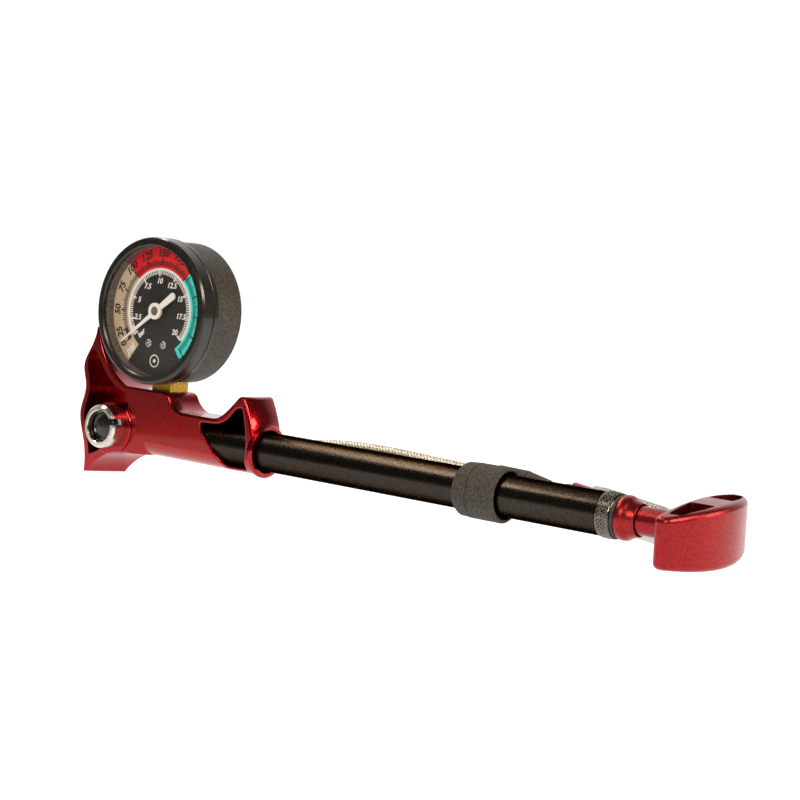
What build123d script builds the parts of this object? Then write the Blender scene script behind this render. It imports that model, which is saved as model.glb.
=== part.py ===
"""High-pressure hand pump with a two-inch dial gauge, for air springs.

Millimetres, +Z up. The barrel lies along X with the handle at +X. The origin is on the
surface that the pump stands on, below the middle of its length and of its width.
"""
import os
from math import cos, pi, radians, sin, tan

from build123d import *

# ---------------------------------------------------------------- driving dimensions
axis_z = 18.5            # barrel axis above the surface
barrel_r = 7.0
bore_r = 5.2
barrel_start = -81.0
barrel_end = 91.5
rod_r = 3.0
running_gap = 0.05       # radial clearance of the sliding and turning fits

head_half = 8.0          # half thickness of the head
head_bottom = 9.8
saddle_z = 27.8
boss_z = 34.3
peak_z = 37.2
mouth_x = -47.2
mouth_r = 9.5
housing_r = 8.7          # underside of the head, turned about the barrel
edge_r = 0.9             # rounding along the head's outer edges

gauge_x = -97.65
gauge_z = 63.3
case_r = 25.8
case_wall = 1.2
case_back = 7.9
case_front = -6.2
bezel_r = 26.7
bezel_front = -14.6
dial_y = -9.2
stem_half = 4.75
stem_top = 46.5

bleed_x = -118.5
bleed_front = -14.4
bleed_r = 8.0
bleed_bore_r = 5.8
bleed_boss_r = 8.9
bleed_lip_r = 10.8
bleed_thread_r = 6.0
bleed_seat_y = -3.0      # bottom of the collar's threaded hole

cap_r = 7.15
cap_end = 97.1
bumper_end = 98.1
neck_r = 4.6
grip_back = 121.8
grip_front = 135.3
grip_half = 24.2         # half length of the T
grip_mid_height = 9.7    # half height of the T at its middle
grip_end_height = 7.6
grip_twist = 5.8         # how far the handle has been turned on its rod, degrees

port_x = -92.5           # hose port on the back of the head
hose_r = 2.5
swivel_y = 12.6          # hose line behind the barrel axis at the swivel
band_start = 38.5
band_seam = 44.3
band_end = 55.0
band_r = 9.15

chuck_origin = (68.0, 12.3, 20.7)
chuck_direction = (10.5, 1.0, -1.5)
chuck_r = 6.0
chuck_length = 40.0
valve_thread_r = 3.85    # 8V1 thread of a tyre or air spring valve

os.makedirs("parts", exist_ok=True)

barrel_axis = Axis((0, 0, axis_z), (1, 0, 0))
gauge_axis = Axis((gauge_x, 0, gauge_z), (0, 1, 0))
bleed_axis = Axis((bleed_x, 0, axis_z), (0, 1, 0))
port_axis = Axis((port_x, 0, axis_z), (0, 1, 0))
gauge_plane = Plane.XY.offset(gauge_z)
axis_plane = Plane.XY.offset(axis_z)
chuck_plane = Plane(origin=chuck_origin, z_dir=chuck_direction)
chuck_side = Plane(origin=chuck_origin, x_dir=chuck_plane.z_dir, z_dir=chuck_plane.y_dir)
chuck_axis = Axis(chuck_origin, chuck_direction)

kept = []


def keep(part, label):
    """Name a finished piece and write its file."""
    part.label = label
    export_step(part, f"parts/{label}.step")
    kept.append(part)


def turned(points, plane, axis):
    """A turned piece from its half section, drawn on a plane that holds the axis."""
    with BuildPart() as piece:
        with BuildSketch(plane):
            with BuildLine():
                Polyline(*points, close=True)
            make_face()
        revolve(axis=axis)
    return piece.part


def on_barrel(stations):
    """Half-section points about the barrel axis, from (x, radius) pairs."""
    return [(x, axis_z + r) for x, r in stations]


def about_gauge(stations):
    """Half-section points about the gauge axis, from (radius, y) pairs."""
    return [(gauge_x + r, y) for r, y in stations]


# ---------------------------------------------------------------- hose
hose_route = [
    (-71.0, 12.6, 18.5),
    (-50.0, 12.6, 19.4),
    (-26.0, 11.6, 23.3),
    (0.0, 10.4, 24.0),
    (24.0, 9.9, 22.9),
    (46.0, 10.1, 22.7),
    (57.5, 11.3, 22.2),
    (68.0, 12.3, 20.7),
]


def bend_radii(route):
    """Radius of the arc at each inner point: 0.45 of the shorter run over tan of half the turn."""
    radii = []
    for before, here, after in zip(route, route[1:], route[2:]):
        run_in = Vector(*here) - Vector(*before)
        run_out = Vector(*after) - Vector(*here)
        turn = radians(run_in.get_angle(run_out))
        radii.append(0.45 * min(run_in.length, run_out.length) / tan(turn / 2))
    return radii


hose_radii = bend_radii(hose_route)
print("hose bend radii", [round(r, 1) for r in hose_radii])

with BuildPart() as hose:
    with BuildLine() as hose_line:
        FilletPolyline(*hose_route, radius=hose_radii)
    hose_path = hose_line.wires()[0]
    with BuildSketch(Plane(origin=hose_route[0], z_dir=hose_path % 0)):
        Circle(hose_r)
    sweep(path=hose_path)
hose_length = hose_path.length
print("hose length", round(hose_length, 1), "volume ratio",
      round(hose.part.volume / (pi * hose_r**2 * hose_length), 4))

# ---------------------------------------------------------------- pump head
cut_end = -40.0          # past the head's +X end, for the cuts that open there

# everything outside the flared +X end of the head
with BuildPart() as flare_cut:
    with BuildSketch(Plane.XZ):
        with BuildLine():
            flare = Spline(*on_barrel([(-47.6, 7.6), (-49.0, 9.8), (-50.4, 13.0), (-52.4, 17.0),
                                       (-55.6, 22.0)]))
            Polyline(flare @ 1, (cut_end, axis_z + 22.0), (cut_end, axis_z), (-47.6, axis_z),
                     flare @ 0)
        make_face()
    revolve(axis=barrel_axis)

# everything outside the turned underside of the head
turned_top = 15.1
with BuildPart() as underside_cut:
    with BuildSketch(Plane.XZ):
        with BuildLine():
            Polyline(*on_barrel([(cut_end, housing_r), (-101.0, housing_r), (-107.0, 12.0),
                                 (-107.0, 14.0), (cut_end, 14.0)]), close=True)
        make_face()
    revolve(axis=barrel_axis)
    with Locations((-75.0, 0, turned_top + 20.0)):
        Box(90.0, 40.0, 40.0, mode=Mode.SUBTRACT)

with BuildPart() as pump_head:
    with BuildSketch(Plane.XZ):
        with BuildLine():
            horn_tip = (-129.9, 54.6)
            cradle_start = (-128.9, 54.3)
            cradle_end = (-112.6, boss_z)
            foot_tip = (-130.9, 0.0)
            end_x = cut_end - 4.0
            Spline(horn_tip, (-133.0, 45.4), (-135.3, 39.5), (-133.5, 32.0), (-135.3, 22.5),
                   (-132.2, 11.0), (-131.0, 5.0), foot_tip)
            Polyline(foot_tip, (-118.0, 0.0), (-106.0, head_bottom), (end_x, head_bottom),
                     (end_x, 34.0))
            peak = ThreePointArc((-52.4, 36.0), (-54.9, peak_z), (-57.3, 36.1))
            Line((end_x, 34.0), peak @ 0)
            Spline(peak @ 1, (-61.0, 32.2), (-65.0, 28.9), (-69.5, saddle_z),
                   tangents=[peak % 1, (-1, 0)])
            Line((-69.5, saddle_z), (-83.0, saddle_z))
            Spline((-83.0, saddle_z), (-86.6, 28.9), (-89.4, 31.4), (-93.6, boss_z),
                   tangents=[(-1, 0), (-1, 0)])
            Line((-93.6, boss_z), cradle_end)
            ThreePointArc(cradle_end, (-124.2, 43.4), cradle_start)
            Line(cradle_start, horn_tip)
        make_face()
    extrude(amount=head_half, both=True)
    add(flare_cut.part, mode=Mode.SUBTRACT)
    crest = pump_head.edges().filter_by(
        lambda e: e.center().Z > 36 and e.center().X > -54.5 and abs(e.center().Y) < head_half - 0.1)
    fillet(crest.filter_by(lambda e: e.length > 2), 1.6)
    rims = pump_head.faces().filter_by(Axis.Y).edges().filter_by(lambda e: e.length > 2)
    fillet(rims.filter_by(lambda e: min((e @ 0).Z, (e @ 1).Z) > head_bottom - 0.1), edge_r)
    add(underside_cut.part, mode=Mode.SUBTRACT)
    # raised lip round the bleed valve
    with BuildSketch(Plane.XZ.offset(head_half)):
        with Locations((bleed_x, axis_z)):
            Circle(bleed_lip_r)
    extrude(amount=0.8)
    fillet(pump_head.edges().filter_by(GeomType.CIRCLE).sort_by(Axis.Y)[0], 0.7)
    # scooped underside of the foot, which runs back at an angle
    with BuildSketch(Plane.XZ.offset(head_half + 1)):
        with BuildLine():
            ThreePointArc((-130.8, -0.6), (-121.4, 7.1), (-107.0, head_bottom))
            Polyline((-107.0, head_bottom), (-90.0, head_bottom), (-90.0, -1.0), (-130.8, -1.0),
                     (-130.8, -0.6))
        make_face()
    extrude(amount=2 * head_half + 2, dir=(5, 2 * head_half, 0), mode=Mode.SUBTRACT)
    # relief pocket behind the left wall
    with BuildSketch(Plane.XZ.offset(head_half + 1)):
        with BuildLine():
            Spline((-130.9, 46.6), (-133.3, 39.5), (-131.4, 32.0), (-133.2, 22.5), (-130.3, 11.5),
                   (-129.0, 6.6))
            Spline((-129.0, 6.6), (-125.6, 8.0), (-120.0, 10.5), (-112.0, 12.0))
            Line((-112.0, 12.0), (-110.5, 25.0))
            ThreePointArc((-110.5, 25.0), (-111.8, 30.6), (-116.8, 33.0))
            Spline((-116.8, 33.0), (-121.6, 36.2), (-126.5, 41.5), (-130.9, 46.6))
        make_face()
        with Locations((bleed_x, axis_z)):
            Circle(bleed_boss_r, mode=Mode.SUBTRACT)
        with Locations((-109.0, axis_z)):
            Rectangle(13.0, 13.6, mode=Mode.SUBTRACT)
    extrude(amount=-11.0, mode=Mode.SUBTRACT)
    # window beside the barrel, blind at the back, with a rounded rim
    with BuildSketch(Plane.XZ.offset(head_half + 3)):
        with BuildLine():
            Polyline((-73.9, 25.6), (-73.9, 23.4), (-62.4, 11.4), (-52.4, 11.9))
            Spline((-52.4, 11.9), (-51.5, 18.5), (-52.7, 26.8), (-54.6, 32.9))
            Spline((-54.6, 32.9), (-57.3, 32.4), (-60.2, 29.3), (-64.2, 26.6), (-69.0, 25.9),
                   (-73.9, 25.6))
        make_face()
        fillet(vertices(), 0.7)
    extrude(amount=-2 * head_half - 1.5, mode=Mode.SUBTRACT)
    sill = pump_head.edges().filter_by(
        lambda e: max((e @ 0).Y, (e @ 1).Y) < -4.5
        and min((e @ 0).X, (e @ 1).X) > -74.5 and max((e @ 0).X, (e @ 1).X) < -51.2
        and min((e @ 0).Z, (e @ 1).Z) > 11.0 and max((e @ 0).Z, (e @ 1).Z) < 33.3)
    fillet(sill.filter_by(lambda e: abs((e @ 0).Y - (e @ 1).Y) < 0.5 or e.center().Z < 16), 0.6)
    # turned mouth round the barrel
    with BuildSketch(Plane.XZ):
        with BuildLine():
            Polyline(*on_barrel([(-50.6, 0), (-50.6, 7.9), (-49.8, 8.8), (-48.8, mouth_r),
                                 (mouth_x - 0.6, mouth_r), (mouth_x, mouth_r - 0.6),
                                 (mouth_x, 0)]), close=True)
        make_face()
    revolve(axis=barrel_axis)
    # socket for the barrel, the check valve chamber and the air gallery
    with BuildSketch(Plane.XZ):
        with BuildLine():
            Polyline(*on_barrel([(mouth_x + 1, 0), (mouth_x + 1, barrel_r + 1.0),
                                 (mouth_x, barrel_r + 0.8), (mouth_x - 0.8, barrel_r),
                                 (barrel_start, barrel_r), (barrel_start, 3.0), (-89.0, 3.0),
                                 (-89.0, 1.2), (bleed_x, 1.2), (bleed_x, 0)]), close=True)
        make_face()
    revolve(axis=barrel_axis, mode=Mode.SUBTRACT)
    # threaded port for the gauge stem, open to the gallery
    with BuildSketch(Plane.XY.offset(boss_z + 1)):
        with Locations((gauge_x, 0)):
            Circle(4.8)
    extrude(amount=-9.3, mode=Mode.SUBTRACT)
    with BuildSketch(Plane.XY.offset(boss_z)):
        with Locations((gauge_x, 0)):
            Circle(1.2)
    extrude(amount=axis_z - boss_z, mode=Mode.SUBTRACT)
    # bleed valve port in front and hose port behind
    for radius, front, back in ((bleed_thread_r, -head_half - 1, bleed_seat_y),
                                (1.75, bleed_seat_y, 2.0)):
        with BuildSketch(Plane.XZ.offset(-front)):
            with Locations((bleed_x, axis_z)):
                Circle(radius)
        extrude(amount=front - back, mode=Mode.SUBTRACT)
    for radius, front, back in ((3.0, head_half - 4, head_half + 1), (1.0, 0.0, head_half)):
        with BuildSketch(Plane.XZ.offset(-front)):
            with Locations((port_x, axis_z)):
                Circle(radius)
        extrude(amount=front - back, mode=Mode.SUBTRACT)
keep(pump_head.part, "pump_head")
keep(hose.part, "hose")

# ---------------------------------------------------------------- barrel and its end
keep(turned(on_barrel([(barrel_start, 3.2), (barrel_start, barrel_r), (barrel_end, barrel_r),
                       (barrel_end, bore_r), (barrel_start + 2.5, bore_r),
                       (barrel_start + 2.5, 3.2)]), Plane.XZ, barrel_axis), "barrel")

bush_r = 4.2
with BuildPart() as end_cap:
    with BuildSketch(Plane.XZ):
        with BuildLine():
            Polyline(*on_barrel([(84.0, bush_r), (84.0, bore_r), (barrel_end, bore_r),
                                 (barrel_end, cap_r), (cap_end, cap_r), (cap_end, bush_r)]),
                     close=True)
        make_face()
    revolve(axis=barrel_axis)
    rims = end_cap.edges().filter_by(GeomType.CIRCLE).sort_by(SortBy.RADIUS)[-2:]
    chamfer(rims, 0.3)
keep(end_cap.part, "end_cap")

keep(turned(on_barrel([(84.0, rod_r + running_gap), (84.0, bush_r), (cap_end, bush_r),
                       (cap_end, rod_r + running_gap)]), Plane.XZ, barrel_axis), "rod_bushing")
keep(turned(on_barrel([(cap_end, 3.4), (cap_end, 6.9), (bumper_end - 0.05, 6.9),
                       (bumper_end - 0.05, 3.4)]), Plane.XZ, barrel_axis), "bumper_ring")

# ---------------------------------------------------------------- plunger
piston_front = barrel_start + 3.0
piston_back = piston_front + 9.0
groove_front = piston_front + 3.0
groove_back = piston_front + 5.4
with BuildPart() as piston:
    with BuildSketch(Plane.XZ):
        with BuildLine():
            Polyline(*on_barrel([(piston_front, 0), (piston_front, 4.9), (groove_front, 4.9),
                                 (groove_front, 3.6), (groove_back, 3.6), (groove_back, 4.9),
                                 (piston_back, 4.9), (piston_back, 0)]), close=True)
        make_face()
    revolve(axis=barrel_axis)
keep(piston.part, "piston")

keep(turned(on_barrel([(groove_front + 0.2, 3.6 + running_gap), (groove_front + 0.2, 4.85),
                       (groove_front + 0.6, bore_r - running_gap),
                       (groove_back - 0.6, bore_r - running_gap), (groove_back - 0.2, 4.85),
                       (groove_back - 0.2, 3.6 + running_gap)]), Plane.XZ, barrel_axis),
     "piston_seal")

rod_end = 114.0
with BuildPart() as piston_rod:
    with BuildSketch(Plane.XZ):
        with BuildLine():
            Polyline(*on_barrel([(piston_back, 0), (piston_back, rod_r), (rod_end, rod_r),
                                 (rod_end, 0)]), close=True)
        make_face()
    revolve(axis=barrel_axis)
    chamfer(piston_rod.edges().sort_by(Axis.X)[-1], 0.5)
keep(piston_rod.part, "piston_rod")

grip_frame = Plane(origin=(0, 0, axis_z), x_dir=(1, 0, 0),
                   z_dir=(0, -sin(radians(grip_twist)), cos(radians(grip_twist))))
with BuildPart() as t_handle:
    with BuildSketch(grip_frame.offset(-12)):
        with BuildLine():
            ThreePointArc((126.6, -grip_half), (grip_front, 0), (126.6, grip_half))
            Polyline((126.6, grip_half), (grip_back, grip_half), (grip_back, -grip_half),
                     (126.6, -grip_half))
        make_face()
        ends = vertices().sort_by(Axis.X)
        fillet(ends[2:], 3.2)
        fillet(vertices().sort_by(Axis.X)[:2], 2.4)
    extrude(amount=24)
    # crowned top and bottom
    side_frame = Plane(origin=(grip_back - 5, 0, axis_z), x_dir=grip_frame.y_dir, z_dir=(1, 0, 0))
    with BuildSketch(side_frame):
        with BuildLine():
            ThreePointArc((-grip_half - 1, grip_end_height), (0, grip_mid_height),
                          (grip_half + 1, grip_end_height))
            Line((grip_half + 1, grip_end_height), (grip_half + 1, -grip_end_height))
            ThreePointArc((grip_half + 1, -grip_end_height), (0, -grip_mid_height),
                          (-grip_half - 1, -grip_end_height))
            Line((-grip_half - 1, -grip_end_height), (-grip_half - 1, grip_end_height))
        make_face()
    extrude(amount=22, mode=Mode.INTERSECT)
    crowns = t_handle.faces().sort_by(Axis.Z)
    fillet(crowns[-1].edges() + crowns[0].edges(), 2.0)
    # finger slots either side of the middle
    with BuildSketch(grip_frame.offset(-12)):
        with BuildLine():
            Polyline((123.9, 5.2), (132.3, 5.2), (131.6, 11.0), (128.6, 19.6), (124.6, 20.2),
                     close=True)
        make_face()
        fillet(vertices(), 1.1)
        mirror(about=Plane.XZ)
    extrude(amount=24, mode=Mode.SUBTRACT)
    # neck and bell
    with BuildSketch(Plane.XZ):
        with BuildLine():
            Line((bumper_end, axis_z), (bumper_end, axis_z + 6.4))
            Spline((bumper_end, axis_z + 6.4), (98.5, axis_z + 6.95), (99.6, axis_z + cap_r),
                   (101.0, axis_z + 6.85), (102.6, axis_z + 5.95), (104.4, axis_z + 5.0),
                   (106.8, axis_z + neck_r), tangents=[(0.2, 1), (1, 0)])
            Line((106.8, axis_z + neck_r), (116.5, axis_z + neck_r))
            Spline((116.5, axis_z + neck_r), (120.0, axis_z + 5.0), (grip_back + 0.5, axis_z + 6.4),
                   tangents=[(1, 0), (1, 1.4)])
            Polyline((grip_back + 0.5, axis_z + 6.4), (grip_back + 0.5, axis_z),
                     (bumper_end, axis_z))
        make_face()
    revolve(axis=barrel_axis)
    with BuildSketch(Plane.YZ.offset(bumper_end)):
        with Locations((0, axis_z)):
            Circle(rod_r)
    extrude(amount=rod_end - bumper_end, mode=Mode.SUBTRACT)
keep(t_handle.part, "t_handle")

# ---------------------------------------------------------------- check valve in the head
keep(turned(on_barrel([(-83.2, 1.2), (-83.2, 3.0), (barrel_start, 3.0), (barrel_start, 1.2)]),
            Plane.XZ, barrel_axis), "check_seat")
ball_r = 1.8
ball_x = -84.6
with BuildPart() as check_ball:
    with Locations((ball_x, 0, axis_z)):
        Sphere(ball_r)
keep(check_ball.part, "check_ball")


def coil_spring(start, direction, length, radius, wire_r, turns, label):
    """A compression spring, drawn at its fitted length."""
    with BuildPart() as spring:
        with BuildLine() as coil:
            Helix(pitch=length / turns, height=length, radius=radius, center=start,
                  direction=direction)
        wire = coil.edges()[0]
        with BuildSketch(Plane(origin=wire @ 0, z_dir=wire % 0)):
            Circle(wire_r)
        sweep(path=wire)
    keep(spring.part, label)


coil_spring((-88.8, 0, axis_z), (1, 0, 0), 2.1, 1.4, 0.13, 4, "check_spring")

# ---------------------------------------------------------------- bleed valve
guide_r = 3.2
spring_seat_y = -8.6
with BuildPart() as bleed_collar:
    with BuildSketch(axis_plane):
        with BuildLine():
            Polyline((bleed_x + 2.0, bleed_seat_y), (bleed_x + bleed_thread_r, bleed_seat_y),
                     (bleed_x + bleed_thread_r, -head_half - 0.8),
                     (bleed_x + bleed_r, -head_half - 0.8), (bleed_x + bleed_r, bleed_front + 0.9),
                     (bleed_x + bleed_r - 0.9, bleed_front),
                     (bleed_x + bleed_bore_r + 0.3, bleed_front),
                     (bleed_x + bleed_bore_r, bleed_front + 0.3),
                     (bleed_x + bleed_bore_r, spring_seat_y), (bleed_x + guide_r, spring_seat_y),
                     (bleed_x + guide_r, -4.6), (bleed_x + 2.0, -4.6), close=True)
        make_face()
    revolve(axis=bleed_axis)
    # wrench slot across the right side of the rim
    with Locations((bleed_x + bleed_r - 1.2, bleed_front + 2.0, axis_z + 2.4)):
        Box(4.6, 4.0, 2.4, mode=Mode.SUBTRACT)
keep(bleed_collar.part, "bleed_collar")

button_front = bleed_front + 1.6
button_back = -10.9
keep(turned([(bleed_x, button_front), (bleed_x + 1.8, button_front + 0.1),
             (bleed_x + 3.5, button_front + 0.35), (bleed_x + 4.9, button_front + 0.8),
             (bleed_x + 5.4, button_front + 1.2), (bleed_x + 5.4, button_back),
             (bleed_x, button_back)], axis_plane, bleed_axis), "bleed_button")
keep(turned([(bleed_x, button_back), (bleed_x + 1.6, button_back), (bleed_x + 1.6, -3.1),
             (bleed_x + 0.9, -3.1), (bleed_x + 0.9, -0.4), (bleed_x, -0.4)],
            axis_plane, bleed_axis), "bleed_stem")
coil_spring((bleed_x, -8.4, axis_z), (0, -1, 0), 2.2, 2.6, 0.2, 4, "bleed_spring")

# ---------------------------------------------------------------- pressure gauge
case_mouth_r = case_r - case_wall
with BuildPart() as gauge_case:
    with BuildSketch(gauge_plane):
        with BuildLine():
            Polyline(*about_gauge([(0, case_back), (case_r - 1.2, case_back),
                                   (case_r, case_back - 1.2), (case_r, case_front),
                                   (case_mouth_r, case_front),
                                   (case_mouth_r, case_back - case_wall),
                                   (0, case_back - case_wall)]), close=True)
        make_face()
    revolve(axis=gauge_axis)
    with Locations((gauge_x, 0, gauge_z - case_r)):
        Box(2 * stem_half, 2 * stem_half, 6.0, mode=Mode.SUBTRACT)
keep(gauge_case.part, "gauge_case")

lens_front = -13.9
lens_back = -12.8
opening_r = 23.5
keep(turned(about_gauge([(case_mouth_r, case_front), (bezel_r - 0.4, case_front),
                         (bezel_r, case_front - 0.4), (bezel_r, case_front - 2.2),
                         (bezel_r - 0.35, case_front - 2.4), (bezel_r - 0.35, case_front - 2.7),
                         (bezel_r, case_front - 2.9), (bezel_r, bezel_front + 1.1),
                         (bezel_r - 0.4, bezel_front + 0.3), (bezel_r - 1.1, bezel_front),
                         (opening_r + 0.5, bezel_front), (opening_r, bezel_front + 0.4),
                         (opening_r, lens_front), (case_mouth_r, lens_front)]),
            gauge_plane, gauge_axis), "gauge_bezel")
keep(turned(about_gauge([(0, lens_back), (case_mouth_r - 0.05, lens_back),
                         (case_mouth_r - 0.05, lens_front + 0.02), (0, lens_front + 0.02)]),
            gauge_plane, gauge_axis), "gauge_lens")
keep(turned(about_gauge([(opening_r - 0.1, dial_y - 0.1), (case_mouth_r - 0.1, dial_y - 0.1),
                         (case_mouth_r - 0.1, lens_back + 0.1),
                         (opening_r - 0.1, lens_back + 0.1)]),
            gauge_plane, gauge_axis), "lens_spacer")

bush_boss_r = 2.3        # brass boss of the movement, which shows through the dial
with BuildPart() as gauge_dial:
    with BuildSketch(Plane.XZ.offset(-dial_y)):
        with Locations((gauge_x, gauge_z)):
            Circle(case_mouth_r - 0.2)
            Circle(bush_boss_r + 0.05, mode=Mode.SUBTRACT)
    extrude(amount=-0.6)
keep(gauge_dial.part, "gauge_dial")

screw_places = [(gauge_x + side * 3.7, gauge_z - 12.0) for side in (-1, 1)]
with BuildPart() as dial_screws:
    with BuildSketch(Plane.XZ.offset(-dial_y)):
        with Locations(*screw_places):
            Circle(1.5)
    extrude(amount=0.7)
    fillet(dial_screws.edges().group_by(Axis.Y)[0], 0.4)
    with BuildSketch(Plane.XZ.offset(-dial_y + 0.7)):
        with Locations(*screw_places):
            Rectangle(3.2, 0.35, rotation=20)
    extrude(amount=-0.35, mode=Mode.SUBTRACT)
keep(dial_screws.part, "dial_screws")

needle_y = -10.9
needle_zero = 217.5      # where the needle rests, from +X towards +Z
tip_reach = 20.5
tail_reach = 11.2
needle_t = 0.4
pivot_r = 0.6
needle_plane = Plane(origin=(gauge_x, needle_y, gauge_z),
                     x_dir=(cos(radians(needle_zero)), 0, sin(radians(needle_zero))),
                     z_dir=(0, -1, 0))
with BuildPart() as gauge_needle:
    with BuildSketch(needle_plane):
        with BuildLine():
            Polyline((-tail_reach + 1.2, -1.35), (0, -0.9), (tip_reach, -0.2), (tip_reach, 0.2),
                     (0, 0.9), (-tail_reach + 1.2, 1.35))
            ThreePointArc((-tail_reach + 1.2, 1.35), (-tail_reach, 0), (-tail_reach + 1.2, -1.35))
        make_face()
        Circle(pivot_r, mode=Mode.SUBTRACT)
    extrude(amount=needle_t)
    with BuildSketch(needle_plane):
        Circle(3.0)
        Circle(1.7, mode=Mode.SUBTRACT)
    extrude(amount=0.9)
keep(gauge_needle.part, "gauge_needle")

sector_drop = 11.2
pinion_r = 1.35
sector_r = 9.75
plate_front = -6.6
plate_back = -1.0
plate_t = 0.8
with BuildPart() as needle_spindle:
    with BuildSketch(gauge_plane):
        with BuildLine():
            Polyline(*about_gauge([(0, needle_y - needle_t), (pivot_r, needle_y - needle_t),
                                   (pivot_r, -4.6),
                                   (pinion_r, -4.6), (pinion_r, -3.2), (pivot_r, -3.2),
                                   (pivot_r, plate_back - 0.1), (0, plate_back - 0.1)]),
                     close=True)
        make_face()
    revolve(axis=gauge_axis)
    # hub pin inside the needle's ring
    with BuildSketch(needle_plane.offset(needle_t)):
        Circle(1.6)
    extrude(amount=0.4)
keep(needle_spindle.part, "needle_spindle")

with BuildPart() as movement_plates:
    for front in (plate_front, plate_back - plate_t):
        with BuildSketch(Plane.XZ.offset(-front)):
            with Locations((gauge_x, gauge_z - sector_drop / 2 + 0.6)):
                RectangleRounded(13.0, 20.6, 2.0)
        extrude(amount=-plate_t)
    with BuildSketch(Plane.XZ.offset(-plate_front - plate_t)):
        with Locations((gauge_x - 5.3, gauge_z + 2.4), (gauge_x + 5.3, gauge_z + 2.4)):
            Circle(0.9)
    extrude(amount=-(plate_back - plate_t - plate_front - plate_t))
    with BuildSketch(Plane.XZ.offset(-plate_front)):
        with Locations((gauge_x, gauge_z)):
            Circle(bush_boss_r)
    extrude(amount=plate_front - dial_y + 0.7)
    for pivot_z, front in ((gauge_z, dial_y - 1.0), (gauge_z - sector_drop, plate_front)):
        with BuildSketch(Plane.XZ.offset(-front)):
            with Locations((gauge_x, pivot_z)):
                Circle(pivot_r + running_gap)
        extrude(amount=front, mode=Mode.SUBTRACT)
keep(movement_plates.part, "movement_plates")

sector_frame = Plane(origin=(gauge_x, -3.3, gauge_z - sector_drop), x_dir=(1, 0, 0),
                     z_dir=(0, -1, 0))
sector_half = 24.0
sector_rest = 19.0       # where the sector points with the needle at zero, clockwise of up
with BuildPart() as sector_gear:
    with BuildSketch(sector_frame.rotated((0, 0, -sector_rest))):
        with BuildLine():
            edge = (sector_r * sin(radians(sector_half)), sector_r * cos(radians(sector_half)))
            ThreePointArc((-edge[0], edge[1]), (0, sector_r), edge)
            Polyline(edge, (1.2, -0.4), (0, -1.2), (-1.2, -0.4), (-edge[0], edge[1]))
        make_face()
    extrude(amount=1.0)
    with BuildSketch(Plane.XZ.offset(-plate_front)):
        with Locations((gauge_x, gauge_z - sector_drop)):
            Circle(pivot_r)
    extrude(amount=plate_front - plate_back)
keep(sector_gear.part, "sector_gear")

tube_sweep = 245.0
tube_start = 262.0       # angle of the fixed end about the gauge axis, from +X
with BuildPart() as bourdon_tube:
    start_dir = (cos(radians(tube_start)), 0, sin(radians(tube_start)))
    with BuildSketch(Plane(origin=(gauge_x, 1.0, gauge_z), x_dir=start_dir,
                           z_dir=(-start_dir[2], 0, start_dir[0]))):
        with Locations((18.5, 0)):
            Ellipse(1.1, 3.0)
            Ellipse(0.7, 2.6, mode=Mode.SUBTRACT)
    revolve(axis=gauge_axis, revolution_arc=tube_sweep)
keep(bourdon_tube.part, "bourdon_tube")

stem_bottom = 26.2
with BuildPart() as gauge_stem:
    with Locations((gauge_x, 0, (boss_z + stem_top) / 2)):
        Box(2 * stem_half, 2 * stem_half, stem_top - boss_z)
    chamfer(gauge_stem.edges().filter_by(Axis.Z), 0.3)
    with BuildSketch(Plane.XY.offset(boss_z)):
        with Locations((gauge_x, 0)):
            Circle(4.8)
    extrude(amount=stem_bottom - boss_z)
    with BuildSketch(Plane.XY.offset(stem_bottom)):
        with Locations((gauge_x, 0)):
            Circle(1.2)
    extrude(amount=stem_top - 2.5 - stem_bottom, mode=Mode.SUBTRACT)
    add(bourdon_tube.part, mode=Mode.SUBTRACT)
keep(gauge_stem.part, "gauge_stem")

# ---------------------------------------------------------------- hose swivel on the head
ferrule_start = -77.0
with BuildPart() as hose_swivel:
    with BuildSketch(axis_plane):
        with Locations((port_x + 4.15, swivel_y)):
            Rectangle(2.3, 7.0)
    revolve(axis=port_axis)
    with BuildSketch(Plane.YZ.offset(port_x + 4.6)):
        with Locations((swivel_y, axis_z)):
            Circle(2.3)
    extrude(amount=ferrule_start - port_x - 4.6)
    with BuildSketch(Plane.YZ.offset(port_x + 6.0)):
        with Locations((swivel_y, axis_z)):
            RegularPolygon(3.6, 6)
    extrude(amount=4.5)
keep(hose_swivel.part, "hose_swivel")
keep(turned([(port_x, 4.2), (port_x + 3.0, 4.2), (port_x + 3.0, 16.15), (port_x + 5.0, 16.15),
             (port_x + 5.0, 18.6), (port_x + 4.4, 19.2), (port_x, 19.2)], axis_plane, port_axis),
     "swivel_bolt")
with BuildPart() as hose_ferrule:
    with BuildSketch(Plane.YZ.offset(ferrule_start)):
        with Locations((swivel_y, axis_z)):
            Circle(3.3)
    extrude(amount=7.6)
    add(hose.part, mode=Mode.SUBTRACT)
keep(hose_ferrule.part, "hose_ferrule")

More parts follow.
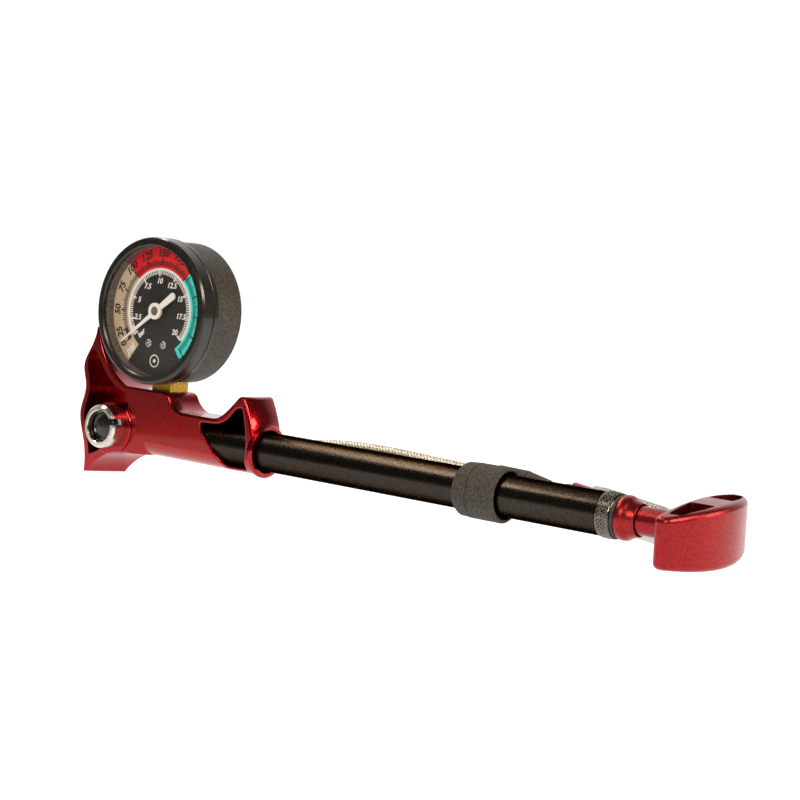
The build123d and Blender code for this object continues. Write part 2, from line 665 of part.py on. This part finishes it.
# ---------------------------------------------------------------- rubber hose band
with BuildPart() as hose_band:
    with BuildSketch(Plane.XZ):
        with BuildLine():
            Polyline(*on_barrel([(band_start, barrel_r), (band_start, 8.2), (band_start + 1.0, 8.9),
                                 (band_seam - 0.4, band_r), (band_seam, band_r - 0.35),
                                 (band_seam + 0.4, band_r), (band_end - 0.8, band_r),
                                 (band_end, band_r - 0.6), (band_end, 8.0), (band_end - 2.2, 7.7),
                                 (band_end - 2.6, barrel_r)]), close=True)
        make_face()
    revolve(axis=barrel_axis)
    # sleeve that holds the hose, with its tapered tail
    with BuildSketch(Plane(origin=(band_seam, 10.0, 22.75), z_dir=(11.5, 1.0, -0.45))):
        Circle(4.0)
    extrude(amount=band_end - band_seam)
    with BuildSketch(Plane(origin=(band_end - 0.3, 11.0, 22.35), z_dir=(11.5, 1.0, -0.9))):
        Circle(3.9)
    with BuildSketch(Plane(origin=(62.8, 11.8, 21.5), z_dir=(11.5, 1.0, -1.3))):
        Circle(2.9)
    loft()
    with BuildSketch(Plane.YZ.offset(band_start - 1)):
        with Locations((0, axis_z)):
            Circle(barrel_r)
    extrude(amount=30, mode=Mode.SUBTRACT)
    add(hose.part, mode=Mode.SUBTRACT)
keep(hose_band.part, "hose_band")

# ---------------------------------------------------------------- valve chuck
stub_r = 3.0
nut_start = 10.2
keep(turned([(0, 0), (0, 3.4), (1.2, 3.8), (2.6, 3.8), (3.4, 4.9), (9.4, 4.9), (10.0, 4.5),
             (10.0, stub_r), (24.0, stub_r), (24.0, 4.1), (26.0, 4.1), (26.0, 0)],
            chuck_side, chuck_axis), "chuck_body")
keep(turned([(nut_start, stub_r + running_gap), (nut_start, 5.5), (nut_start + 0.6, chuck_r),
             (chuck_length - 0.8, chuck_r), (chuck_length, chuck_r - 0.8),
             (chuck_length, valve_thread_r), (29.0, valve_thread_r), (29.0, 4.3), (23.8, 4.3),
             (23.8, stub_r + running_gap)],
            chuck_side, chuck_axis), "chuck_nut")
keep(turned([(26.0, 1.2), (26.0, 3.8), (28.6, 3.8), (28.6, 1.2)], chuck_side, chuck_axis),
     "chuck_seal")
keep(turned([(26.0, 0), (26.0, 0.6), (28.9, 0.6), (28.9, 0)], chuck_side, chuck_axis),
     "chuck_pin")

whole = Compound(children=[piece for piece in kept if piece.label != "hose"])
box = whole.bounding_box()
print("box", box.min, box.max, "diagonal", round(box.diagonal, 1))
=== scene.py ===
"""Looks for the hand pump: camera, hose, dial, knurls, materials, light. Metres, in the CAD frame."""
import math

import bmesh
import bpy
from mathutils import Matrix, Vector


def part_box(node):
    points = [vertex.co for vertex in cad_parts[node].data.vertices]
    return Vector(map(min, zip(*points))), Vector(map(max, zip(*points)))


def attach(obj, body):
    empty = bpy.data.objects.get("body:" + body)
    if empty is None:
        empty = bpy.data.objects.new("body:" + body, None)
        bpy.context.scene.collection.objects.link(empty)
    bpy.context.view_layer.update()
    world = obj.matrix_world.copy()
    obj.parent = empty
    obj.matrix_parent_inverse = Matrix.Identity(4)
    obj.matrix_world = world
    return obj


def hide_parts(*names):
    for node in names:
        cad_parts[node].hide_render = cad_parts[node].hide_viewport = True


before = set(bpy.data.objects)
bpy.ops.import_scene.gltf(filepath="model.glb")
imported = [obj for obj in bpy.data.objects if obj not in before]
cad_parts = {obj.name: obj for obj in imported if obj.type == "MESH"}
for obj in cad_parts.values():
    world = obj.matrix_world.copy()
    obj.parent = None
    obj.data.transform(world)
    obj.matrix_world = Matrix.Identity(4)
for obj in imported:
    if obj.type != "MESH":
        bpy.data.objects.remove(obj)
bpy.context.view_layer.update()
MM = 0.001


# ---------------------------------------------------------------- small helpers
def centre(node):
    low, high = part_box(node)
    return [(a + b) / 2 for a, b in zip(low, high)]


def mesh_object(name, verts, faces, smooth=True):
    mesh = bpy.data.meshes.new(name)
    mesh.from_pydata([tuple(v) for v in verts], [], faces)
    mesh.update()
    mesh.shade_smooth() if smooth else mesh.shade_flat()
    made = bpy.data.objects.new(name, mesh)
    bpy.context.scene.collection.objects.link(made)
    return made


def put_on(piece, material, body):
    piece.data.materials.clear()
    piece.data.materials.append(material)
    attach(piece, body)


# ---------------------------------------------------------------- camera
AZIMUTH = 0.6434
ELEVATION = 0.0728
ROLL = 0.0979
DISTANCE = 0.6361
TARGET = Vector((0.00825, 0.0, 0.0438))

away = Vector((math.sin(AZIMUTH) * math.cos(ELEVATION),
               -math.cos(AZIMUTH) * math.cos(ELEVATION),
               math.sin(ELEVATION)))
level_right = (-away).cross(Vector((0, 0, 1))).normalized()
level_up = level_right.cross(-away).normalized()
right = level_right * math.cos(ROLL) + level_up * math.sin(ROLL)
up = level_up * math.cos(ROLL) - level_right * math.sin(ROLL)
camera_data = bpy.data.cameras.new("camera")
camera_data.sensor_width = 36
camera_data.lens = 85.5
camera_data.clip_start = 0.01
camera = bpy.data.objects.new("camera", camera_data)
turn = Matrix((right, up, away)).transposed().to_4x4()
camera.matrix_world = Matrix.Translation(TARGET + away * DISTANCE) @ turn
bpy.context.scene.collection.objects.link(camera)
bpy.context.scene.camera = camera


# ---------------------------------------------------------------- materials
def material(name, colour, roughness, metallic=0.0, **sockets):
    """A node material with its Principled shader; returns it with its shader and node tree."""
    made = bpy.data.materials.new(name)
    made.use_nodes = True
    tree = made.node_tree
    shader = tree.nodes["Principled BSDF"]
    shader.inputs["Base Color"].default_value = (*colour, 1)
    shader.inputs["Roughness"].default_value = roughness
    shader.inputs["Metallic"].default_value = metallic
    for socket, value in sockets.items():
        shader.inputs[socket.replace("_", " ")].default_value = value
    return made, shader, tree


def noise(tree, scale, detail, roughness=0.6):
    """Noise in object space, scale per metre."""
    place = tree.nodes.new("ShaderNodeTexCoord")
    texture = tree.nodes.new("ShaderNodeTexNoise")
    texture.inputs["Scale"].default_value = scale
    texture.inputs["Detail"].default_value = detail
    texture.inputs["Roughness"].default_value = roughness
    tree.links.new(place.outputs["Object"], texture.inputs["Vector"])
    return texture.outputs["Fac"]


def ramp(tree, source, low, high, start=0.35, stop=0.65):
    """Stretches the middle of a noise over low to high."""
    node = tree.nodes.new("ShaderNodeMapRange")
    node.inputs["From Min"].default_value = start
    node.inputs["From Max"].default_value = stop
    node.inputs["To Min"].default_value = low
    node.inputs["To Max"].default_value = high
    tree.links.new(source, node.inputs["Value"])
    return node.outputs["Result"]


def bump(tree, shader, source, height, strength):
    node = tree.nodes.new("ShaderNodeBump")
    node.inputs["Distance"].default_value = height
    node.inputs["Strength"].default_value = strength
    tree.links.new(source, node.inputs["Height"])
    tree.links.new(node.outputs["Normal"], shader.inputs["Normal"])


def tinted(tree, shader, source, dark, light):
    mix = tree.nodes.new("ShaderNodeMix")
    mix.data_type = "RGBA"
    mix.inputs[6].default_value = (*dark, 1)
    mix.inputs[7].default_value = (*light, 1)
    tree.links.new(source, mix.inputs[0])
    tree.links.new(mix.outputs[2], shader.inputs["Base Color"])


def anodised(name, dark, light, roughness, metallic=1.0, grain=0.00002, **sockets):
    """Blasted metal, dyed or bare: fine speckle in the colour, the gloss and the surface."""
    made, shader, tree = material(name, light, roughness, metallic, **sockets)
    tinted(tree, shader, ramp(tree, noise(tree, 1300, 3), 0, 1), dark, light)
    rough = ramp(tree, noise(tree, 1800, 2), roughness * 0.75, roughness * 1.3)
    tree.links.new(rough, shader.inputs["Roughness"])
    bump(tree, shader, noise(tree, 2400, 3), grain, 0.45)
    return made


def moulded(name, tone, roughness, grain=0.00004, **sockets):
    """Plastic or powder coat with a fine grain."""
    made, shader, tree = material(name, tone, roughness, **sockets)
    dark = [c * 0.4 for c in tone]
    light = [c * 2.3 for c in tone]
    tinted(tree, shader, ramp(tree, noise(tree, 1400, 2), 0, 1), dark, light)
    bump(tree, shader, noise(tree, 2600, 3), grain, 0.5)
    return made


def paint(name, colour, roughness=0.45):
    """Dial ink: even, with a faint screen-print mottle."""
    made, shader, tree = material(name, colour, roughness)
    tinted(tree, shader, ramp(tree, noise(tree, 1500, 2), 0, 1), [c * 0.93 for c in colour], colour)
    return made


def rubber(name):
    made, shader, tree = material(name, (0.03, 0.028, 0.025), 0.8)
    speck = noise(tree, 1500, 4, roughness=0.8)
    tinted(tree, shader, ramp(tree, speck, 0, 1, 0.38, 0.66), (0.006, 0.005, 0.004),
           (0.085, 0.072, 0.060))
    bump(tree, shader, speck, 0.00018, 0.9)
    return made


RED = anodised("red_anodised", (0.26, 0.001, 0.003), (0.37, 0.002, 0.005), 0.22,
               Coat_Weight=0.5, Coat_Roughness=0.06)
RED_SATIN = anodised("red_satin", (0.19, 0.002, 0.004), (0.36, 0.004, 0.007), 0.33,
                     Coat_Weight=0.45, Coat_Roughness=0.34)
BLACK = anodised("black_anodised", (0.030, 0.025, 0.021), (0.048, 0.041, 0.034), 0.24,
                 Specular_Tint=(0.08, 0.07, 0.06, 1))
KNURL = anodised("black_knurl", (0.10, 0.09, 0.08), (0.20, 0.18, 0.15), 0.22)
SILVER = anodised("silver_metal", (0.52, 0.50, 0.46), (0.64, 0.61, 0.56), 0.32)
STEEL = anodised("steel", (0.62, 0.61, 0.59), (0.75, 0.74, 0.72), 0.22)
BRASS = anodised("brass", (0.62, 0.36, 0.05), (0.78, 0.48, 0.09), 0.28)
# A darker copy of the brass for the gauge stem: painted shade standing in for the stem's shaded,
# dark-reflecting faces, not age
SHADED_BRASS = anodised("brass_painted_shade", (0.30, 0.17, 0.03), (0.52, 0.31, 0.05), 0.3)
DULL_BRASS = anodised("dull_brass", (0.36, 0.28, 0.18), (0.50, 0.40, 0.27), 0.4)
CASE = moulded("case_black", (0.026, 0.021, 0.016), 0.5, Specular_IOR_Level=0.35)
BEZEL = moulded("bezel_black", (0.008, 0.007, 0.006), 0.24, 0.00001)
SPACER = moulded("spacer_grey", (0.07, 0.06, 0.05), 0.35, 0.00002)
COLLAR = anodised("collar_metal", (0.52, 0.51, 0.46), (0.66, 0.64, 0.58), 0.2)
PLASTIC = moulded("button_black", (0.006, 0.006, 0.006), 0.18, 0.00001)
RUBBER = rubber("rubber")
DIAL = moulded("dial_black", (0.010, 0.010, 0.010), 0.5, 0.00002)
WHITE = paint("ink_white", (0.92, 0.90, 0.86))
BEIGE = paint("ink_beige", (0.62, 0.49, 0.34))
SCARLET = paint("ink_red", (0.78, 0.008, 0.020))
CYAN = paint("ink_cyan", (0.04, 0.86, 0.78))
INK = paint("ink_black", (0.012, 0.010, 0.010))
NEEDLE = paint("needle_white", (0.88, 0.86, 0.83), 0.35)
GLASS, glass_shader, glass_tree = material("lens", (0.9, 0.9, 0.9), 0.03, 1.0, Alpha=0.03)
glass_rough = ramp(glass_tree, noise(glass_tree, 40, 2), 0.02, 0.05)
glass_tree.links.new(glass_rough, glass_shader.inputs["Roughness"])

FINISHES = {
    RED: ["pump_head", "chuck_body"],
    RED_SATIN: ["t_handle"],
    BLACK: ["barrel", "end_cap", "swivel_bolt"],
    SILVER: ["hose_swivel", "hose_ferrule", "chuck_nut", "piston"],
    PLASTIC: ["bleed_button"],
    CASE: ["gauge_case"],
    BEZEL: ["gauge_bezel"],
    SPACER: ["lens_spacer"],
    COLLAR: ["bleed_collar"],
    RUBBER: ["hose_band", "bumper_ring", "piston_seal", "chuck_seal"],
    STEEL: ["piston_rod", "bleed_stem", "bleed_spring", "check_ball", "check_spring",
            "chuck_pin", "dial_screws"],
    SHADED_BRASS: ["gauge_stem"],
    BRASS: ["bourdon_tube", "movement_plates", "sector_gear", "check_seat",
            "rod_bushing"],
    DULL_BRASS: ["needle_spindle"],
    DIAL: ["gauge_dial"],
    NEEDLE: ["gauge_needle"],
    GLASS: ["gauge_lens"],
}
for finish, nodes in FINISHES.items():
    for node in nodes:
        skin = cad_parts[node].data
        skin.materials.clear()
        skin.materials.append(finish)

# ---------------------------------------------------------------- stage and light
# A glowing white sheet lies under and behind the object, on a wider grey floor. The sheet and the
# sky are both arranged for the rest camera: the front faces then reflect a darker studio.
def staged(name, verts, finish):
    sheet = mesh_object(name, verts, [tuple(range(len(verts)))], smooth=False)
    sheet.data.materials.append(finish)


SWEEP, sweep_shader, sweep_tree = material("sweep", (0.4, 0.4, 0.4), 0.8)
sweep_shader.inputs["Emission Color"].default_value = (1, 1, 1, 1)
sweep_shader.inputs["Emission Strength"].default_value = 0.93
tinted(sweep_tree, sweep_shader, ramp(sweep_tree, noise(sweep_tree, 6, 2), 0, 1),
       (0.36, 0.36, 0.36), (0.42, 0.42, 0.42))
FLOOR, floor_shader, floor_tree = material("floor", (0.3, 0.3, 0.3), 0.7)
tinted(floor_tree, floor_shader, ramp(floor_tree, noise(floor_tree, 6, 2), 0, 1),
       (0.28, 0.28, 0.28), (0.32, 0.32, 0.32))
staged("floor", [(-4, -4, -0.001), (4, -4, -0.001), (4, 4, -0.001), (-4, 4, -0.001)], FLOOR)
staged("sweep", [(0.55, -0.62, 0), (0.60, -0.20, 0), (0.60, 9, 0), (-9, 9, 0),
                 (-9, 6.6, 0), (0.20, -0.45, 0)], SWEEP)

world = bpy.data.worlds.new("studio")
bpy.context.scene.world = world
world.use_nodes = True
sky = world.node_tree
spot = sky.nodes.new("ShaderNodeTexCoord")
towards = sky.nodes.new("ShaderNodeVectorMath")
towards.operation = "DOT_PRODUCT"
towards.inputs[1].default_value = Vector((-0.58, 0.78, 0.22)).normalized()
sky.links.new(spot.outputs["Generated"], towards.inputs[0])
fall = sky.nodes.new("ShaderNodeMapRange")
fall.inputs["From Min"].default_value = 0.45
fall.inputs["From Max"].default_value = 0.84
fall.inputs["To Min"].default_value = 0.09
fall.inputs["To Max"].default_value = 1.05
sky.links.new(towards.outputs["Value"], fall.inputs["Value"])
sky.links.new(fall.outputs["Result"], sky.nodes["Background"].inputs["Strength"])
sky.nodes["Background"].inputs["Color"].default_value = (1, 1, 1, 1)
bpy.context.scene.view_settings.view_transform = "Standard"


def softbox(name, place, aim, size, power, tint=(1, 1, 1)):
    data = bpy.data.lights.new(name, "AREA")
    data.shape = "RECTANGLE"
    data.size, data.size_y = size
    data.energy = power
    data.color = tint
    lamp = bpy.data.objects.new(name, data)
    lamp.location = place
    lamp.rotation_euler = (Vector(aim) - Vector(place)).to_track_quat("-Z", "Y").to_euler()
    bpy.context.scene.collection.objects.link(lamp)


WARM = (1.0, 0.86, 0.70)
softbox("key", (0.95, -0.2, 0.72), (-0.05, 0, 0.03), (0.4, 0.4), 10, WARM)
softbox("side", (1.0, 0.5, 0.35), (0, 0, 0.03), (0.25, 0.5), 5, WARM)
softbox("top", (-0.75, -0.10, 1.0), (0, 0, 0.03), (1.2, 0.14), 9, WARM)
softbox("fill", (0.25, -1.2, 0.75), (0, 0, 0.03), (0.5, 0.35), 8, WARM)


# ---------------------------------------------------------------- hose
HOSE_ROUTE = [
    (-71.0, 12.6, 18.5),
    (-50.0, 12.6, 19.4),
    (-26.0, 11.6, 23.3),
    (0.0, 10.4, 24.0),
    (24.0, 9.9, 22.9),
    (46.0, 10.1, 22.7),
    (57.5, 11.3, 22.2),
    (68.0, 12.3, 20.7),
]
HOSE_D = 5.0 * MM
line = bpy.data.curves.new("hose_core", "CURVE")
line.dimensions = "3D"
spline = line.splines.new("NURBS")
spline.points.add(len(HOSE_ROUTE) - 1)
for point, place in zip(spline.points, HOSE_ROUTE):
    point.co = (*[c * MM for c in place], 1)
spline.order_u = 3
spline.use_endpoint_u = True
spline.resolution_u = 40
hose = bpy.data.objects.new("hose_core", line)
bpy.context.scene.collection.objects.link(hose)
centre_line = [v.co.copy() for v in bpy.data.meshes.new_from_object(hose).vertices]
line.bevel_depth = HOSE_D / 2
line.bevel_resolution = 6
CORE = moulded("braid_core", (0.05, 0.045, 0.04), 0.6)
put_on(hose, CORE, "pump")
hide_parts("hose")


def evenly(points, step):
    """Stations every step along a line of points, each with its direction."""
    stations = []
    carried = 0.0
    for a, b in zip(points, points[1:]):
        run = (b - a).length
        while carried <= run:
            stations.append((a.lerp(b, carried / run), (b - a).normalized()))
            carried += step
        carried -= run
    return stations


WIRE_WIDTH = 0.4945      # share of the room between wires of one way
WEAVE = 0.05
CROWN = 0.09


def braid(stations, radius, strands, lay, step):
    """Flat wires wound both ways round the line, each crowned, and woven over and under."""
    verts = []
    faces = []
    for way in (1, -1):
        for strand in range(strands):
            first = len(verts)
            for i, (spot, ahead) in enumerate(stations):
                side = ahead.cross(Vector((0, 0, 1))).normalized()
                rise = side.cross(ahead)
                turn = math.tau * (strand / strands + way * i * step / lay)
                weave = math.cos(math.pi * strands * i * step / lay * 2 + strand * math.pi)
                for across, lift in ((-0.5, 0.0), (-0.18, 1.0), (0.18, 1.0), (0.5, 0.0)):
                    angle = turn + across * WIRE_WIDTH * math.tau / strands
                    r = radius + (WEAVE * weave * way + CROWN * lift) * MM
                    verts.append(spot + (side * math.cos(angle) + rise * math.sin(angle)) * r)
            for i in range(len(stations) - 1):
                for k in range(3):
                    a = first + i * 4 + k
                    faces.append((a, a + 1, a + 5, a + 4) if way > 0 else (a, a + 4, a + 5, a + 1))
    return verts, faces


BRAID = anodised("braid_wire", (0.55, 0.50, 0.43), (0.80, 0.74, 0.64), 0.35, 0.9)
BRAID_STEP = 0.4 * MM
wires = mesh_object("hose_braid", *braid(evenly(centre_line, BRAID_STEP), HOSE_D / 2 - 0.02 * MM,
                                         10, 14 * MM, BRAID_STEP))
put_on(wires, BRAID, "pump")

# ---------------------------------------------------------------- dial print
DIAL_X, _, DIAL_Z = centre("gauge_dial")
PRINT_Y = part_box("gauge_dial")[0][1] - 0.03 * MM
OVER_PRINT_Y = PRINT_Y - 0.01 * MM     # ink laid over the coloured bands
ZERO = 219.5             # degrees from +X towards +Z
AT_25_PSI = 206.5
PER_PSI = 0.925
PSI_PER_BAR = 14.504


def psi_angle(psi):
    """Angle of a pressure on the dial; the first 25 psi are squeezed together."""
    if psi < 25:
        return ZERO + (AT_25_PSI - ZERO) * psi / 25
    return AT_25_PSI - PER_PSI * (psi - 25)


def polar(radius, degrees, y):
    angle = math.radians(degrees)
    return Vector((DIAL_X + radius * MM * math.cos(angle), y,
                   DIAL_Z + radius * MM * math.sin(angle)))


def sector(inner, outer, start, end, y, verts, faces):
    """A flat ring sector that faces -Y."""
    steps = max(2, int(abs(end - start) / 2))
    first = len(verts)
    for i in range(steps + 1):
        angle = start + (end - start) * i / steps
        verts.append(polar(inner, angle, y))
        verts.append(polar(outer, angle, y))
    for i in range(steps):
        a = first + 2 * i
        faces.append((a, a + 1, a + 3, a + 2))


def tick(inner, outer, degrees, width, y, verts, faces):
    half = math.degrees(width / 2 / ((inner + outer) / 2))
    first = len(verts)
    for radius, angle in ((inner, degrees - half), (outer, degrees - half),
                          (outer, degrees + half), (inner, degrees + half)):
        verts.append(polar(radius, angle, y))
    faces.append((first, first + 1, first + 2, first + 3))


def print_piece(name, ink, draw, y):
    verts = []
    faces = []
    draw(y, verts, faces)
    put_on(mesh_object(name, verts, faces, smooth=False), ink, "pump")


RING_IN = 14.8
RING_OUT = 15.75
BAND_OUT = 24.2
BEIGE_END = 235.3
RED_START = 136.5
CYAN_START = 47.35
CYAN_END = -54.0
for name, ink, start, end in (("band_beige", BEIGE, RED_START, BEIGE_END),
                              ("band_red", SCARLET, CYAN_START, RED_START),
                              ("band_cyan", CYAN, CYAN_END, CYAN_START)):
    print_piece(name, ink, lambda y, v, f: sector(RING_OUT, BAND_OUT, start, end, y, v, f), PRINT_Y)


def bar_scale(y, verts, faces):
    sector(RING_IN, RING_OUT, psi_angle(20 * PSI_PER_BAR), ZERO, y, verts, faces)
    for quarter in range(81):
        inner, width = (12.7, 0.70) if quarter % 10 == 0 else (13.4, 0.42)
        tick(inner, RING_IN + 0.1, psi_angle(quarter / 4 * PSI_PER_BAR), width, y, verts, faces)


def psi_scale(y, verts, faces):
    sector(16.75, 16.95, psi_angle(300), ZERO, y, verts, faces)
    for step in range(121):
        outer = 19.4 if step % 10 == 0 else 18.9 if step % 5 == 0 else 18.4
        tick(16.8, outer, psi_angle(step * 2.5), 0.62 if step % 10 == 0 else 0.40, y, verts, faces)


print_piece("bar_scale", WHITE, bar_scale, OVER_PRINT_Y)
print_piece("psi_scale", INK, psi_scale, OVER_PRINT_Y)


LETTER_SCALE = 1.38      # font size over the height of a capital


def words(name, ink, labels, y):
    """Labels set flat on the dial: (text, radius, angle, turn, height) in mm and degrees."""
    joined = bmesh.new()
    for text, radius, degrees, turn_by, height in labels:
        curve = bpy.data.curves.new("label", "FONT")
        curve.body = text
        curve.size = height * LETTER_SCALE * MM
        curve.align_x = "CENTER"
        curve.align_y = "CENTER"
        curve.offset = 0.05 * height * MM
        curve.shear = 0.18
        curve.resolution_u = 3
        holder = bpy.data.objects.new("label", curve)
        flat = bpy.data.meshes.new_from_object(holder)
        spin = Matrix.Rotation(math.radians(turn_by), 4, "Z")
        stand = Matrix.Rotation(math.radians(90), 4, "X")
        flat.transform(Matrix.Translation(polar(radius, degrees, y)) @ stand @ spin)
        joined.from_mesh(flat)
        bpy.data.objects.remove(holder)
        bpy.data.curves.remove(curve)
        bpy.data.meshes.remove(flat)
    mesh = bpy.data.meshes.new(name)
    joined.to_mesh(mesh)
    joined.free()
    made = bpy.data.objects.new(name, mesh)
    bpy.context.scene.collection.objects.link(made)
    put_on(made, ink, "pump")


words("psi_numbers", INK,
      [(str(psi), 21.1, psi_angle(psi), psi_angle(psi) - 90, 2.8) for psi in range(0, 301, 25)],
      OVER_PRINT_Y)
words("bar_numbers", WHITE,
      [(f"{tenths / 10:g}", 11.0, psi_angle(tenths / 10 * PSI_PER_BAR), 0, 2.0)
       for tenths in range(25, 201, 25)] + [("bar", 11.9, 227.5, 45, 2.0)],
      OVER_PRINT_Y)
words("unit_mark", WHITE, [("psi", 19.9, 229.5, 42, 2.9)], PRINT_Y - 0.02 * MM)


def plain_mark(y, verts, faces):
    """A plain ring with a dot in it, below the screws."""
    middle = polar(18.2, 269.0, y)
    for inner, outer in ((1.9, 2.35), (0.0, 0.7)):
        first = len(verts)
        for i in range(33):
            angle = math.tau * i / 32
            for r in (inner, outer):
                verts.append(middle + Vector((math.cos(angle), 0, math.sin(angle))) * r * MM)
        for i in range(32):
            a = first + 2 * i
            faces.append((a, a + 1, a + 3, a + 2))


print_piece("plain_mark", WHITE, plain_mark, PRINT_Y)


# ---------------------------------------------------------------- knurls
def knurl(origin, axis, start, length, radius, around, depth, detail=5):
    """A sleeve of small pyramids: diamond knurling between two plain edges."""
    axis = Vector(axis).normalized()
    side = axis.cross(Vector((0, 0, 1))).normalized()
    rise = side.cross(axis)
    columns = around * detail
    pitch = math.tau * radius / around
    rows = int(length / pitch * detail)
    verts = []
    faces = []
    for row in range(rows + 1):
        along = start + length * row / rows
        edge = min(row, rows - row) / detail
        for column in range(columns):
            u = column / detail
            v = row / detail
            a = abs((u + v) % 1 - 0.5) * 2
            b = abs((u - v) % 1 - 0.5) * 2
            r = radius + depth * min(a, b, edge)
            angle = math.tau * column / columns
            verts.append(Vector(origin) + axis * along
                         + (side * math.cos(angle) + rise * math.sin(angle)) * r)
    for row in range(rows):
        for column in range(columns):
            a = row * columns + column
            b = row * columns + (column + 1) % columns
            faces.append((a, a + columns, b + columns, b))
    return verts, faces


SUNK = 0.02 * MM         # how far a sleeve starts below the surface that it covers
cap_low, cap_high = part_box("end_cap")
CAP_R = (cap_high[2] - cap_low[2]) / 2
cap_knurl = mesh_object("cap_knurl", *knurl((0, 0, centre("barrel")[2]), (1, 0, 0), 91.9 * MM,
                                            4.8 * MM, CAP_R - SUNK, 36, 0.42 * MM), smooth=False)
put_on(cap_knurl, KNURL, "pump")

CHUCK_START = Vector(HOSE_ROUTE[-1]) * MM
CHUCK_AXIS = Vector((10.5, 1.0, -1.5)).normalized()
CHUCK_R = 6.0 * MM
nut_knurl = mesh_object("nut_knurl", *knurl(CHUCK_START, CHUCK_AXIS, 12.5 * MM, 24.0 * MM,
                                            CHUCK_R - SUNK, 34, 0.25 * MM), smooth=False)
put_on(nut_knurl, SILVER, "chuck_nut_body")
